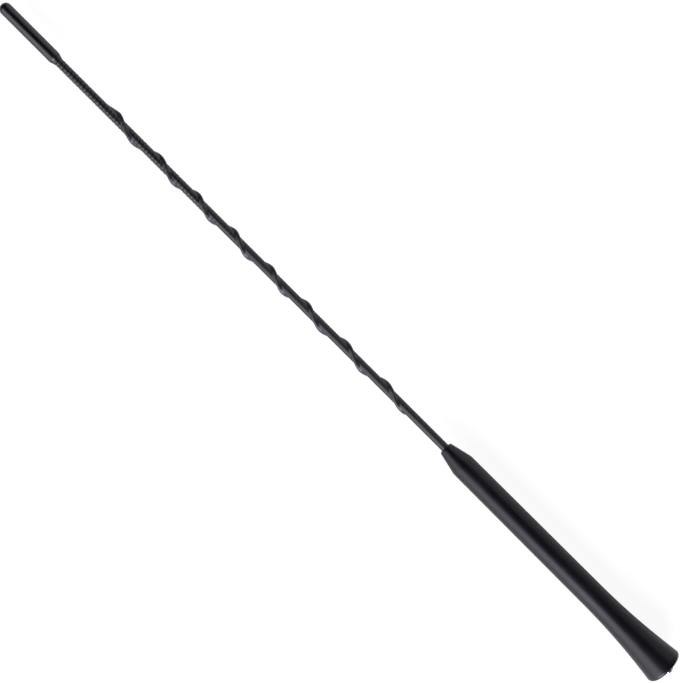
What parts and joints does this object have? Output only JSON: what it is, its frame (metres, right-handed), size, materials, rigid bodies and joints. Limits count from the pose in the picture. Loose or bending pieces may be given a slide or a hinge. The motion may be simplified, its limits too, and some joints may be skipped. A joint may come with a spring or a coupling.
{
  "type": "car mast aerial",
  "caption": "Screw-in car mast aerial: a slim black whip with a spiral ridge against wind noise and a rounded tip cap, on a long tapered grip with a bell-shaped foot and threaded stud.",
  "frame": {"origin": "centre of the foot's seating shoulder, at the root of its stud", "axes": "+Z along the mast from the foot to the tip; the stud points along -Z"},
  "size_m": [0.0175, 0.0174, 0.4058],
  "materials": {
    "grip_rubber": "matte moulded black",
    "bright_metal": "bright turned metal",
    "rod_composite": "drawn glass fibre, hidden",
    "winding_wire": "enamelled wire, hidden",
    "strand_cord": "plain cord, hidden",
    "sleeve_plastic": "satin black shrink sleeve",
    "cap_plastic": "smooth black"
  },
  "bodies": {
    "root": {"grip": "grip_rubber", "threaded_foot": "bright_metal", "glass_fibre_rod": "rod_composite", "radiator_winding": "winding_wire", "spiral_strand": "strand_cord", "shrink_sleeve": "sleeve_plastic", "tip_cap": "cap_plastic"}
  },
  "joints": []
}
